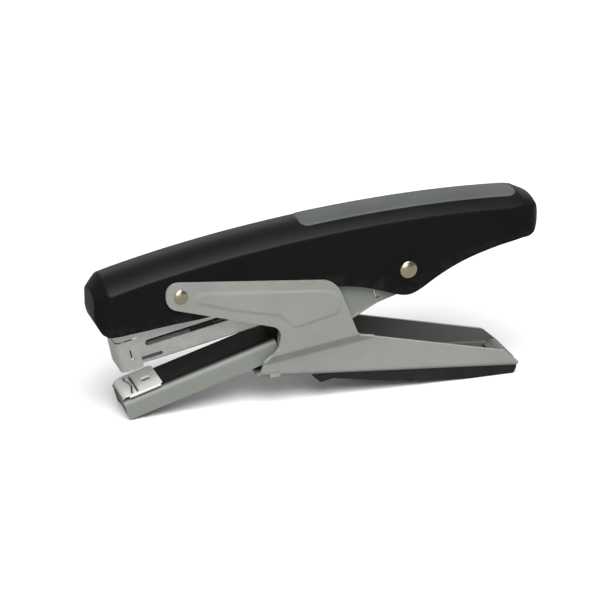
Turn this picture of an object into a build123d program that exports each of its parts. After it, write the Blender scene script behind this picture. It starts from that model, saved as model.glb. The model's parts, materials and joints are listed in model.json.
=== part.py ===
from build123d import *
import os
from math import cos, radians, sin, sqrt

# Pliers-type stapler, millimetres. +X runs from the nose to the heel of the handles, +Y across,
# +Z up. The origin is on the surface it stands on, under the middle of its length.
# It stands on the tip of the anvil arm and on the heel of the lower grip, jaws open.

# pivots, as X and Z
FRONT_PIVOT = (-55.3, 47.6)    # lower handle on upper handle
REAR_PIVOT = (32.2, 47.2)      # anvil arm and magazine on upper handle

# half widths, from the outside in
EAR_HALF = 13.6                # ears of the lower handle
COVER_HALF = 12.1              # moulded cover
HANDLE_HALF = 12.1             # lower handle behind the ears
GRIP_HALF = 11.6               # lower grip
LEVER_HALF = 10.6              # pressed steel lever inside the cover
ARM_HALF = 9.1                 # anvil arm
HEAD_HALF = 8.2                # magazine head
CHANNEL_HALF = 7.4             # magazine channel
RAIL_HALF = 5.6                # staple rail
BRACKET_HALF = 4.0             # magazine hinge bracket

# sheet and wall thicknesses
BODY_SHEET = 1.2
LEVER_SHEET = 1.0
MAGAZINE_SHEET = 0.8
COVER_WALL = 1.4
COVER_ROOF = 2.0
DRIVER_SHEET = 0.6

# upper handle
NOSE_X = -86.0
HEEL_X = 86.0
NOSE_FLAT_HALF = 7.6           # flat front face of the nose
CROWN_RISE = 4.0               # roof height at the middle above its side edges
ROOF_LINE = [(-92.0, 51.6), (-57.6, 60.3), (-18.8, 67.0), (24.0, 71.1), (54.0, 72.0), (94.0, 70.4)]
INSERT_FRONT, INSERT_REAR = -8.0, 77.0
INSERT_HALF = 7.4
INSERT_DEPTH = 1.0
LEVER_DROP = COVER_ROOF + 0.15  # the lever's roof under the cover's
DRIVER_HALF = 6.2
DRIVER_GRIP = 0.8              # sheet under the lever's roof at the driver's foot
SPRING_GRIP = 0.5
ROOF_RIVET_X = -71.0
ROOF_RIVET_Y = 3.5
SPRING_RIVET_X = -16.0
COIL_R, COIL_WIRE = 3.7, 0.6   # opening spring
COIL_TURNS = 2

# lower handle
HANDLE_FRONT = (-25.9, 11.4)   # front end of its floor line
HANDLE_FALL = 4.93             # how far the floor line falls towards the heel, in degrees
HANDLE_BEND = 2.0
STEP_FOOT = (-21.9, 16.6)      # where the step out to the ears begins
STEP_SLOPE = 8.2
STEP_HEIGHT = 3.7
TAIL_SLOT = (70.2, 72.4)       # cross slot in the floor, from front to rear
TAIL_SLOT_HALF = 8.0
TAB = (-21.5, -17.6)           # tabs of the lift saddle

# anvil arm, in its own frame: along the arm from the front bottom corner, and up from its edge
ARM_FRONT = (-74.1, 0.0)
ARM_SLOPE = 16.7
ARM_HEIGHT = 8.0
ARM_BEND = 2.6
ARM_WEB_END = 62.0
PLATE_END = 15.9               # rear edge of the anvil plate
PLATE_SHEET = 0.9
LIP_START, LIP_END = 2.6, 15.2
POCKET_U = 5.7
POCKET_SPAN = 14.6
POCKET_TURN = 9.0
ANVIL_RIVET_U = 11.4
ANVIL_RIVET_R, ANVIL_HEAD_R = 1.3, 2.0

# magazine, in its own frame: along it and up from the rear pivot
MAGAZINE_SLOPE = 11.5
CHANNEL_FRONT, CHANNEL_REAR = -110.9, -12.0
CHANNEL_FLOOR, CHANNEL_TOP = -5.9, 7.2
HEAD_FRONT, HEAD_REAR = -112.2, -103.8
HEAD_FLOOR, HEAD_TOP = -6.7, 9.0
HEAD_STEP = 5.0                # groove round the head, where its wrap ends
DRIVER_SLOT = 1.3
STAPLE_CROWN = 12.9            # 24/6 wire staple, 6 mm leg
STAPLE_LEG = 6.0
STAPLE_WIRE = 0.7
STRIP_LENGTH = 26.0
ROD_R = 0.8
ROD_W = 3.1
ROD_REAR = -24.0
PUSHER_LENGTH = 9.0
PUSHER_HALF = 6.4
BRACKET_RIVET_U = (-24.0, -15.0)
BRACKET_RIVET_R = 1.0

# rail, from the channel's floor
RAIL_FLOOR = CHANNEL_FLOOR + MAGAZINE_SHEET
RAIL_TOP = RAIL_FLOOR + STAPLE_LEG + 0.1
RAIL_FRONT = CHANNEL_FRONT + 1.0
PUSHER_FRONT = RAIL_FRONT + STRIP_LENGTH + 0.1

# rivets
FRONT_SHANK_R, FRONT_HEAD_R = 1.7, 2.6
REAR_SHANK_R, REAR_HEAD_R = 2.2, 3.35
FRONT_DOME, REAR_DOME = 0.8, 1.0
RUNNING = 0.06                 # radial clearance of a running fit

# lengths of cutting tools that run well past the part
WIDE = 20
FAR = 200

# travel, for the driver's angle and the lift saddle
MAGAZINE_LIFT = 4.07           # degrees, jaws closed
SADDLE_X = -15.5
SADDLE_R = 3.0
SADDLE_GAP = 0.12              # below the arm when the handles are open


def side_outline(*corners):
    """A closed side outline from (x, z, corner radius) triples."""
    points = [(x, z) for x, z, _ in corners]
    return make_face(FilletPolyline(*points, radius=[r for _, _, r in corners], close=True))


def slab(face, y_low, y_high):
    """Extrude a side outline across the width."""
    return extrude(Plane.XZ.offset(-y_high) * face, amount=y_high - y_low)


def both_sides(face, half_in, half_out):
    """The same outline on the left and on the right."""
    return slab(face, -half_out, -half_in) + slab(face, half_in, half_out)


def block(x, y, z):
    """A box between pairs of limits."""
    size = (x[1] - x[0], y[1] - y[0], z[1] - z[0])
    centre = ((x[0] + x[1]) / 2, (y[0] + y[1]) / 2, (z[0] + z[1]) / 2)
    return Pos(*centre) * Box(*size)


def cross_shaft(place, r, half):
    """A plain round bar across the width at (x, z)."""
    return Pos(place[0], 0, place[1]) * Rot(90, 0, 0) * Cylinder(r, 2 * half)


def dome(r, height):
    """A shallow domed rivet head standing on the XY plane."""
    ball = (r * r + height * height) / (2 * height)
    return Pos(0, 0, height - ball) * Sphere(ball) & Pos(0, 0, height / 2) * Cylinder(r + 1, height)


def cross_rivet(place, shank_r, head_r, seat, head_height):
    """A rivet across the width with a domed head on each side."""
    rivet = Cylinder(shank_r, 2 * seat)
    rivet += Pos(0, 0, seat) * dome(head_r, head_height)
    rivet += Pos(0, 0, -seat) * Rot(180, 0, 0) * dome(head_r, head_height)
    return Pos(place[0], 0, place[1]) * Rot(90, 0, 0) * rivet


def in_arm(shape):
    """Place a shape drawn in the anvil arm's own frame."""
    return Pos(ARM_FRONT[0], 0, ARM_FRONT[1]) * Rot(0, -ARM_SLOPE, 0) * shape


def in_magazine(shape, slope=MAGAZINE_SLOPE):
    """Place a shape drawn in the magazine's own frame."""
    return Pos(REAR_PIVOT[0], 0, REAR_PIVOT[1]) * Rot(0, -slope, 0) * shape


def under_crown(drop):
    """Everything under the crowned roof surface, lowered by a drop."""
    path = Spline(*[(x, 0, z - drop) for x, z in ROOF_LINE])
    start = Plane(origin=path @ 0, x_dir=(0, 1, 0), z_dir=path % 0)
    radius = (COVER_HALF**2 + CROWN_RISE**2) / (2 * CROWN_RISE)
    half = COVER_HALF + 3
    edge = -(radius - sqrt(radius**2 - half**2))
    depth = -42
    roof = ThreePointArc((-half, edge), (0, 0), (half, edge))
    walls = Polyline((half, edge), (half, depth), (-half, depth), (-half, edge))
    return sweep(start * make_face([*roof.edges(), *walls.edges()]), path)


def cover_plan(inset):
    """The cover seen from above: chamfered nose, rounded heel."""
    half = COVER_HALF - (COVER_WALL if inset else 0)
    nose = NOSE_X + inset
    heel = HEEL_X - inset
    nose_flat = NOSE_FLAT_HALF - inset * 0.4
    corner = nose + (half - nose_flat) * 1.15
    plan = make_face(
        FilletPolyline(
            (nose, -nose_flat),
            (corner, -half),
            (heel, -half),
            (heel, half),
            (corner, half),
            (nose, nose_flat),
            radius=[1.2, 2.5, 9.5, 9.5, 2.5, 1.2],
            close=True,
        )
    )
    return extrude(plan, amount=90)


def cover_side(inset):
    """The cover seen from the side; an inset outline runs out through the open bottom."""
    drop = 30 if inset else 0
    return side_outline(
        (NOSE_X + 2.0 + inset, 34.6 - drop, 1.5),
        (NOSE_X + inset, 41.0, 4),
        (NOSE_X + inset, 49.5 - inset * 0.4, 1.6),
        (NOSE_X + 5.0 + inset, 55.4 - inset * 0.4, 5),
        (NOSE_X + 12.0 + inset, 78.0, 2),
        (75.0, 78.0, 2),
        (77.0, 71.2 - inset, 6),
        (HEEL_X - 0.6 - inset, 67.0 - inset, 5),
        (HEEL_X - inset, 58.5, 5),
        (HEEL_X - 5.0 - inset, 53.3 - drop, 3),
        (69.0, 53.6 - drop, 10),
        (46.3, 44.9 - drop, 10),
        (36.0, 35.6 - drop, 6),
        (24.0, 38.9 - drop, 10),
        (5.0, 43.9 - drop, 30),
        (-20.0, 45.0 - drop, 10),
        (-45.0, 37.7 - drop, 20),
        (-75.0, 34.2 - drop, 20),
    )


def insert_plan(half):
    """The soft insert seen from above."""
    clear = INSERT_HALF - half
    front, rear = INSERT_FRONT + clear, INSERT_REAR - clear
    corner = half - 0.4
    corners = [(front, -half), (rear, -half), (rear, half), (front, half)]
    plan = make_face(FilletPolyline(*corners, radius=corner, close=True))
    return extrude(plan, amount=90)


def top_cover():
    """Moulded shell over the upper handle, open underneath."""
    shell = slab(cover_side(0), -COVER_HALF, COVER_HALF) & cover_plan(0) & under_crown(0)
    hollow = slab(cover_side(COVER_ROOF), -COVER_HALF, COVER_HALF) & cover_plan(COVER_ROOF)
    shell -= hollow & under_crown(COVER_ROOF)
    shell -= insert_plan(INSERT_HALF) - under_crown(INSERT_DEPTH)
    shell -= cross_shaft(REAR_PIVOT, REAR_SHANK_R, WIDE)
    return shell - cross_shaft(FRONT_PIVOT, FRONT_SHANK_R + 0.4, WIDE)


def grip_insert():
    """Soft strip let into the roof of the cover."""
    return (insert_plan(INSERT_HALF - 0.05) & under_crown(0)) - under_crown(INSERT_DEPTH)


def inner_lever():
    """Pressed steel channel inside the cover that carries both pivots."""
    side = side_outline(
        (-78.6, 44.0, 1),
        (-78.6, 74.0, 1),
        (68.0, 74.0, 1),
        (68.0, 58.5, 2),
        (46.0, 50.0, 8),
        (40.0, 41.0, 4),
        (26.5, 40.6, 4),
        (20.0, 49.5, 4),
        (-42.0, 49.0, 4),
        (-50.0, 41.5, 4),
        (-62.0, 41.5, 4),
    )
    lever = slab(side, -LEVER_HALF, LEVER_HALF) & under_crown(LEVER_DROP)
    inner_half = LEVER_HALF - LEVER_SHEET
    inside = block((-FAR, FAR), (-inner_half, inner_half), (0, FAR))
    lever -= inside & under_crown(LEVER_DROP + LEVER_SHEET)
    lever -= cross_shaft(REAR_PIVOT, REAR_SHANK_R, WIDE)
    lever -= cross_shaft(FRONT_PIVOT, FRONT_SHANK_R + RUNNING, WIDE)
    return lever - driver_rivets() - spring_rivet()


def driver_blade():
    """Blade that pushes the front staple out, with a foot under the lever's roof."""
    slope = MAGAZINE_SLOPE - MAGAZINE_LIFT
    middle = CHANNEL_FRONT - 0.1
    width = (-DRIVER_HALF, DRIVER_HALF)
    blade = block((middle - DRIVER_SHEET / 2, middle + DRIVER_SHEET / 2), width, (-5.2, 22.0))
    blade = in_magazine(blade, slope)
    foot = block((-81.0, -66.0), width, (30, 80)) - under_crown(LEVER_DROP + LEVER_SHEET + DRIVER_GRIP)
    blade = (blade + foot) & under_crown(LEVER_DROP + LEVER_SHEET)
    return blade - driver_rivets()


def roof_rivet(x, y, r, grip):
    """A rivet up through the lever's roof with a flat head under it."""
    roof = min(z for px, z in ROOF_LINE if px > x)
    shank = Pos(x, y, roof - 10) * Cylinder(r, 40) & under_crown(LEVER_DROP)
    head = Pos(x, y, roof - 10) * Cylinder(2 * r, 40) & under_crown(LEVER_DROP + LEVER_SHEET + grip)
    depth = LEVER_DROP + LEVER_SHEET + grip + 0.6
    return (shank + head) - under_crown(depth)


def driver_rivets():
    """The pair that fastens the driver blade."""
    left = roof_rivet(ROOF_RIVET_X, -ROOF_RIVET_Y, 1.0, DRIVER_GRIP)
    return left + roof_rivet(ROOF_RIVET_X, ROOF_RIVET_Y, 1.0, DRIVER_GRIP)


def spring_rivet():
    """Fastens the leaf spring to the lever's roof."""
    return roof_rivet(SPRING_RIVET_X, 0, 1.2, SPRING_GRIP)


def magazine_spring():
    """Leaf under the lever's roof that holds the magazine down."""
    half = CHANNEL_HALF - 0.2
    underside = LEVER_DROP + LEVER_SHEET
    foot = block((-20.0, -8.0), (-half, half), (30, 80)) - under_crown(underside + SPRING_GRIP)
    upper = ThreePointArc((-18.8, 64.0), (-34.0, 53.6), (-44.0, 39.9))
    lower = ThreePointArc((-18.8, 63.0), (-33.6, 53.2), (-43.5, 39.5))
    ends = [Line(upper @ 0, lower @ 0), Line(upper @ 1, lower @ 1)]
    leaf = slab(make_face([*upper.edges(), *lower.edges(), *ends]), -half, half)
    return ((foot + leaf) & under_crown(underside)) - spring_rivet()


def opening_spring():
    """Double torsion spring round the rear pivot that opens the handles."""
    pitch = 2 * COIL_WIRE + 0.05
    spring = None
    for start in (4.7, -7.2):
        helix = Helix(pitch, COIL_TURNS * pitch, COIL_R)
        ring = sweep(Plane(origin=helix @ 0, z_dir=helix % 0) * Circle(COIL_WIRE), helix)
        ring = Pos(REAR_PIVOT[0], 0, REAR_PIVOT[1]) * Rot(90, 0, 0) * Pos(0, 0, start) * ring
        spring = ring if spring is None else spring + ring
    return spring


def rear_rivet():
    """Rear pivot, through the cover and the lever."""
    return cross_rivet(REAR_PIVOT, REAR_SHANK_R, REAR_HEAD_R, COVER_HALF, REAR_DOME)


def front_rivet():
    """Front pivot, held in the ears of the lower handle."""
    return cross_rivet(FRONT_PIVOT, FRONT_SHANK_R, FRONT_HEAD_R, EAR_HALF, FRONT_DOME)


def front_bush():
    """Spacer tube between the lever's flanges on the front pivot."""
    inner = LEVER_HALF - LEVER_SHEET
    bore = cross_shaft(FRONT_PIVOT, FRONT_SHANK_R + RUNNING, inner + 1)
    return cross_shaft(FRONT_PIVOT, 3.0, inner) - bore


def handle_line(along, up):
    """A direction in the lower handle's own frame."""
    c, s = cos(radians(HANDLE_FALL)), sin(radians(HANDLE_FALL))
    return (along * c + up * s, 0, up * c - along * s)


def handle_side():
    """Lower handle behind the ears, seen from the side."""
    return side_outline(
        (-25.9, 11.4, 0.6),
        (76.2, 2.6, 1.0),
        (77.3, 4.4, 0.8),
        (71.6, 9.7, 3),
        (13.2, 23.3, 1),
        (-10.0, 28.0, 1),
        (-19.0, 24.0, 1),
    )


def ear_side():
    """Ear and side wall together, with the throat notch."""
    return side_outline(
        (-60.8, 43.6, 5.2),
        (-60.8, 53.4, 5.0),
        (3.6, 46.9, 8.5),
        (12.6, 23.6, 3),
        (30.0, 19.5, 2),
        (20.0, 9.0, 1),
        (-24.0, 12.5, 0.6),
        (-18.3, 23.6, 5),
        (-17.6, 30.1, 4.2),
    )


def ear_walls():
    """Both sheet walls with the step out from the handle to the ears."""
    out, inn = EAR_HALF, HANDLE_HALF
    section = Polyline(
        (inn, -30),
        (inn, 0),
        (out, STEP_HEIGHT),
        (out, 60),
        (out - BODY_SHEET, 60),
        (out - BODY_SHEET, STEP_HEIGHT),
        (inn - BODY_SHEET, 0),
        (inn - BODY_SHEET, -30),
        close=True,
    )
    start = Plane(
        origin=(STEP_FOOT[0], 0, STEP_FOOT[1]),
        x_dir=(0, 1, 0),
        z_dir=(cos(radians(STEP_SLOPE)), 0, sin(radians(STEP_SLOPE))),
    )
    wall = extrude(start * make_face(section), amount=150, both=True)
    walls = wall + wall.mirror(Plane.XZ)
    return walls & slab(ear_side(), -WIDE, WIDE)


def saddle_tabs(gap=0.0):
    """Tabs of the lift saddle in the bottom corners of the side walls; with a gap, their windows."""
    tabs = None
    for side in (-1, 1):
        across = sorted((side * (HANDLE_HALF - 2.4 - gap), side * (HANDLE_HALF + gap)))
        tab = block((TAB[0] - gap, TAB[1] + gap), across, (11.0 - 20 * gap, 12.8 + gap))
        tabs = tab if tabs is None else tabs + tab
    return tabs


def handle_floor(lift):
    """Plane square to the lower handle's floor line, its Y axis up, raised by a lift."""
    rise = handle_line(0, lift)
    return Plane(
        origin=(HANDLE_FRONT[0] + rise[0], 0, HANDLE_FRONT[1] + rise[2]),
        x_dir=(0, 1, 0),
        z_dir=handle_line(1, 0),
    )


def handle_channel():
    """Channel of the lower handle, with its floor along the bottom line."""
    skins = []
    for lift in (0, BODY_SHEET):
        half = HANDLE_HALF - lift
        r = HANDLE_BEND - lift
        corners = [(-half, 0), (half, 0), (half, 60), (-half, 60)]
        section = make_face(FilletPolyline(*corners, radius=[r, r, 0.5, 0.5], close=True))
        skins.append(extrude(handle_floor(lift) * section, amount=130, both=True))
    return skins[0] - skins[1]


def lower_handle():
    """Pressed steel lower handle: channel, ears and throat notch in one sheet."""
    shell = handle_channel() & slab(handle_side(), -HANDLE_HALF, HANDLE_HALF)
    shell += ear_walls()
    shell -= cross_shaft(FRONT_PIVOT, FRONT_SHANK_R, WIDE)
    shell -= block(TAIL_SLOT, (-TAIL_SLOT_HALF, TAIL_SLOT_HALF), (0, 8))
    return shell - saddle_tabs(0.1)


def lower_grip():
    """Moulded grip under the lower handle, with a finger hook at the front."""
    side = side_outline(
        (-5.4, 9.7, 0.4),
        (-1.5, 6.2, 0.8),
        (3.0, 7.2, 1.5),
        (18.2, 4.6, 6),
        (38.3, 1.7, 20),
        (58.0, 0.0, 2),
        (75.6, 0.0, 1.0),
        (76.6, 2.4, 0.6),
        (60.0, 12.0, 1),
        (0.0, 14.0, 1),
    )
    grip = slab(side, -GRIP_HALF, GRIP_HALF)
    grip -= slab(handle_side(), -HANDLE_HALF, HANDLE_HALF)
    return grip - block((-FAR, FAR), (-WIDE, WIDE), (9.75, 30))


def lift_saddle():
    """Formed piece on the floor of the lower handle that lifts the anvil arm."""
    u = (SADDLE_X - ARM_FRONT[0]) / cos(radians(ARM_SLOPE))
    inner = HANDLE_HALF - BODY_SHEET - 0.1
    nose = in_arm(Pos(u, 0, -SADDLE_R - SADDLE_GAP) * Rot(90, 0, 0) * Cylinder(SADDLE_R, 2 * inner))
    base = block((-22.5, -9.0), (-inner, inner), (9.0, 13.2))
    below = handle_floor(BODY_SHEET) * Box(60, 40, 90, align=(Align.CENTER, Align.MAX, Align.CENTER))
    return (base + nose - below - handle_channel()) + saddle_tabs()


def arm_channel():
    """Front of the anvil arm: an inverted channel with a closed, bent-down tip."""
    outer = block((0, ARM_WEB_END), (-ARM_HALF, ARM_HALF), (0, ARM_HEIGHT))
    outer = fillet(outer.edges().filter_by(Axis.X).group_by(Axis.Z)[-1], ARM_BEND)
    tip = [e for e in outer.faces().sort_by(Axis.X)[0].edges() if e.center().Z > ARM_HEIGHT - 0.1]
    outer = fillet(tip, 1.8)
    inner_half = ARM_HALF - BODY_SHEET
    inner = block((BODY_SHEET, ARM_WEB_END + 5), (-inner_half, inner_half), (-5, ARM_HEIGHT - BODY_SHEET))
    inner = fillet(inner.edges().filter_by(Axis.X).group_by(Axis.Z)[-1], ARM_BEND - BODY_SHEET)
    return outer - inner


def arm_flange():
    """Rear of the arm's sides, up to the rear pivot."""
    return side_outline(
        (-32.0, 12.63, 0.3),
        (-6.0, 20.5, 20),
        (12.0, 29.6, 20),
        (21.3, 34.5, 12),
        (29.5, 37.0, 8),
        (40.0, 41.5, 5),
        (40.0, 52.5, 5),
        (25.0, 53.5, 6),
        (-8.0, 38.0, 8),
        (-16.8, 31.5, 4),
        (-19.6, 23.6, 2.5),
        (-34.4, 19.0, 0.3),
    )


def anvil_arm():
    """Pressed steel arm that carries the anvil and hangs on the rear pivot."""
    arm = in_arm(arm_channel()) + both_sides(arm_flange(), ARM_HALF - BODY_SHEET, ARM_HALF)
    for side in (-1, 1):
        lip = sorted((side * (ARM_HALF + 1), side * (ARM_HALF - 1.75)))
        arm -= in_arm(block((LIP_START, LIP_END), lip, (ARM_HEIGHT - 1.6, ARM_HEIGHT + 2)))
    arm -= in_arm(Pos(ANVIL_RIVET_U, 0, ARM_HEIGHT) * Cylinder(ANVIL_RIVET_R, 10))
    return arm - cross_shaft(REAR_PIVOT, REAR_SHANK_R + RUNNING, WIDE)


def pocket(side):
    """One half of the bow-tie shaped staple pocket."""
    cut = Box(1.5, POCKET_SPAN / 2, 0.8)
    cut = fillet(cut.edges().filter_by(Axis.Z), 0.7)
    place = Pos(POCKET_U, side * POCKET_SPAN / 4 * 0.94, ARM_HEIGHT + PLATE_SHEET)
    return place * Rot(0, 0, POCKET_TURN * side) * cut


def anvil_plate():
    """Plate with the two staple-forming pockets, its side lips let into the arm."""
    half = ARM_HALF - 0.5
    plate = block((0.9, PLATE_END), (-half, half), (ARM_HEIGHT, ARM_HEIGHT + PLATE_SHEET))
    for side in (-1, 1):
        lip = sorted((side * half, side * (half - 1.0)))
        plate += block((LIP_START + 0.15, LIP_END - 0.15), lip, (ARM_HEIGHT - 1.4, ARM_HEIGHT + 0.3))
        plate -= pocket(side)
    plate -= Pos(ANVIL_RIVET_U, 0, ARM_HEIGHT) * Cylinder(ANVIL_RIVET_R, 10)
    return in_arm(plate)


def anvil_rivet():
    """Rivet that fastens the anvil plate."""
    top = ARM_HEIGHT + PLATE_SHEET
    under = ARM_HEIGHT - BODY_SHEET
    rivet = Pos(0, 0, (top + under) / 2) * Cylinder(ANVIL_RIVET_R, top - under)
    rivet += Pos(0, 0, top) * dome(ANVIL_HEAD_R, 0.35)
    rivet += Pos(0, 0, under - 0.4) * Cylinder(ANVIL_HEAD_R, 0.8)
    return in_arm(Pos(ANVIL_RIVET_U, 0, 0) * rivet)


def magazine_window(u_low, u_high, w_low, w_high):
    """A round-ended slot through both sides of the magazine."""
    r = (w_high - w_low) / 2 - 0.01
    corners = [(u_low, w_low), (u_high, w_low), (u_high, w_high), (u_low, w_high)]
    return slab(side_outline(*[(u, w, r) for u, w in corners]), -WIDE, WIDE)


def magazine_channel():
    """Sheet channel that holds the rail and the staples."""
    length = (RAIL_FRONT, CHANNEL_REAR)
    outer = block(length, (-CHANNEL_HALF, CHANNEL_HALF), (CHANNEL_FLOOR, CHANNEL_TOP))
    inner_half = CHANNEL_HALF - MAGAZINE_SHEET
    channel = outer - block((-FAR, 50), (-inner_half, inner_half), (RAIL_FLOOR, 20))
    channel -= magazine_window(-101.2, -50.0, 0.5, 2.9)
    channel -= magazine_window(HEAD_REAR - 2, -95.6, -4.5, -3.0)
    channel -= bracket_rivet_bar()
    return in_magazine(channel)


def magazine_head():
    """Formed head round the front of the channel, with the staple exit below."""
    outer = block((HEAD_FRONT, HEAD_REAR), (-HEAD_HALF, HEAD_HALF), (HEAD_FLOOR, HEAD_TOP))
    outer = fillet(outer.edges().filter_by(Axis.Z).group_by(Axis.X)[0], 2.0)
    wall = HEAD_HALF - CHANNEL_HALF
    mouth_rear = HEAD_FRONT + 0.75 + DRIVER_SLOT
    inner = block((HEAD_FRONT + 0.75, 0), (-CHANNEL_HALF, CHANNEL_HALF), (CHANNEL_FLOOR, 20))
    mouth = block((HEAD_FRONT + 0.75, mouth_rear), (-6.6, 6.6), (-20, 20))
    lance = block((-107.6, -107.1), (-WIDE, WIDE), (-2.2, 1.0))
    lance += block((-107.6, -106.0), (-WIDE, WIDE), (-2.7, -2.2))
    groove = block((-FAR, 0), (-WIDE, WIDE), (HEAD_STEP, HEAD_STEP + 0.4))
    skin = HEAD_HALF - wall / 2
    core = block((HEAD_FRONT + wall / 2, HEAD_REAR + 1), (-skin, skin), (-WIDE, WIDE))
    return in_magazine(outer - inner - mouth - (lance - core) - (groove - core))


def staple_rail():
    """Inverted channel that the staples straddle."""
    outer = block((RAIL_FRONT, CHANNEL_REAR - 8), (-RAIL_HALF, RAIL_HALF), (RAIL_FLOOR, RAIL_TOP))
    inner_half = RAIL_HALF - MAGAZINE_SHEET
    inner = block((-FAR, 0), (-inner_half, inner_half), (RAIL_FLOOR - 1, RAIL_TOP - MAGAZINE_SHEET))
    return in_magazine(outer - inner)


def staple_strip():
    """A glued strip of wire staples over the front of the rail."""
    top = RAIL_TOP + 0.05
    half = STAPLE_CROWN / 2
    crown = top + STAPLE_WIRE
    outer = block((RAIL_FRONT, RAIL_FRONT + STRIP_LENGTH), (-half, half), (crown - STAPLE_LEG, crown))
    inner = block((-FAR, 0), (-half + STAPLE_WIRE, half - STAPLE_WIRE), (-WIDE, top))
    return in_magazine(outer - inner)


def staple_pusher():
    """Saddle behind the staples that slides along the rail."""
    length = (PUSHER_FRONT, PUSHER_FRONT + PUSHER_LENGTH)
    outer = block(length, (-PUSHER_HALF, PUSHER_HALF), (RAIL_FLOOR + 0.4, RAIL_TOP + 3.2))
    inner = block((-FAR, 0), (-RAIL_HALF - 0.1, RAIL_HALF + 0.1), (-WIDE, RAIL_TOP + 0.1))
    bore = Pos(0, 0, ROD_W) * Rot(0, 90, 0) * Cylinder(ROD_R + RUNNING, 2 * FAR)
    return in_magazine(outer - inner - bore)


def guide_rod():
    """Rod above the rail that carries the pusher and its spring."""
    front = RAIL_FRONT + 1.0
    rod = Pos((front + ROD_REAR) / 2, 0, ROD_W) * Rot(0, 90, 0) * Cylinder(ROD_R, ROD_REAR - front)
    return in_magazine(rod)


def rod_stop():
    """Block at the rear of the rail that holds the guide rod."""
    stop = block((ROD_REAR, ROD_REAR + 4.0), (-RAIL_HALF, RAIL_HALF), (RAIL_TOP, ROD_W + 1.6))
    return in_magazine(stop)


def pusher_spring():
    """Fine coil spring on the guide rod, between the pusher and the stop."""
    wire = 0.2
    coil_r = ROD_R + 0.35
    start = PUSHER_FRONT + PUSHER_LENGTH + 0.1
    length = ROD_REAR - start - 0.1
    tube = Cylinder(coil_r + wire, length) - Cylinder(coil_r - wire, length)
    pitch = 2.4
    count = int(length / pitch)
    groove = Cylinder(coil_r + 1, 0.9) - Cylinder(coil_r, 0.9)
    for i in range(count):
        tube -= Pos(0, 0, (i + 0.5 - count / 2) * pitch) * groove
    return in_magazine(Pos(start + length / 2, 0, ROD_W) * Rot(0, 90, 0) * tube)


def bracket_rivet_bar():
    """Shared bores of the two bracket rivets, through the channel floor."""
    front, rear = BRACKET_RIVET_U
    bore = Cylinder(BRACKET_RIVET_R, 40)
    return Pos(front, 0, 0) * bore + Pos(rear, 0, 0) * bore


def magazine_bracket():
    """Bracket that hinges the magazine on the rear pivot."""
    floor = CHANNEL_FLOOR - 1.0
    ear = side_outline(
        (-30.0, floor, 0.3),
        (-4.0, floor, 4),
        (5.0, -4.5, 4),
        (5.0, 5.0, 4.5),
        (-5.0, 5.0, 4.5),
        (-9.5, CHANNEL_FLOOR, 2),
        (-30.0, CHANNEL_FLOOR, 0.3),
    )
    bracket = slab(ear, -BRACKET_HALF, BRACKET_HALF)
    inner_half = BRACKET_HALF - 1.0
    bracket -= block((-9.0, 20), (-inner_half, inner_half), (floor + 1.0, 20))
    bracket -= bracket_rivet_bar()
    bracket -= Rot(90, 0, 0) * Cylinder(REAR_SHANK_R + RUNNING, 40)
    return in_magazine(bracket)


def bracket_rivets():
    """Two rivets from the bracket into the channel floor."""
    under = CHANNEL_FLOOR - 1.0
    rivets = None
    for u in BRACKET_RIVET_U:
        one = Pos(u, 0, (RAIL_FLOOR + under) / 2) * Cylinder(BRACKET_RIVET_R, RAIL_FLOOR - under)
        one += Pos(u, 0, under - 0.3) * Cylinder(1.8, 0.6)
        rivets = one if rivets is None else rivets + one
    return in_magazine(rivets)


NODES = {
    "top_cover": top_cover,
    "grip_insert": grip_insert,
    "inner_lever": inner_lever,
    "driver_blade": driver_blade,
    "driver_rivets": driver_rivets,
    "magazine_spring": magazine_spring,
    "spring_rivet": spring_rivet,
    "opening_spring": opening_spring,
    "rear_rivet": rear_rivet,
    "front_bush": front_bush,
    "lower_handle": lower_handle,
    "front_rivet": front_rivet,
    "lower_grip": lower_grip,
    "lift_saddle": lift_saddle,
    "anvil_arm": anvil_arm,
    "anvil_plate": anvil_plate,
    "anvil_rivet": anvil_rivet,
    "magazine_channel": magazine_channel,
    "magazine_head": magazine_head,
    "staple_rail": staple_rail,
    "staple_strip": staple_strip,
    "staple_pusher": staple_pusher,
    "guide_rod": guide_rod,
    "rod_stop": rod_stop,
    "pusher_spring": pusher_spring,
    "magazine_bracket": magazine_bracket,
    "bracket_rivets": bracket_rivets,
}


os.makedirs("parts", exist_ok=True)
for name, make in NODES.items():
    print(name, flush=True)
    export_step(make(), f"parts/{name}.step")
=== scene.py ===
import json
from math import asin, cos, hypot, pi, radians, sin, tan

import bmesh
import bpy
import numpy as np
from mathutils import Matrix, Vector
from mathutils.geometry import delaunay_2d_cdt


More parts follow.
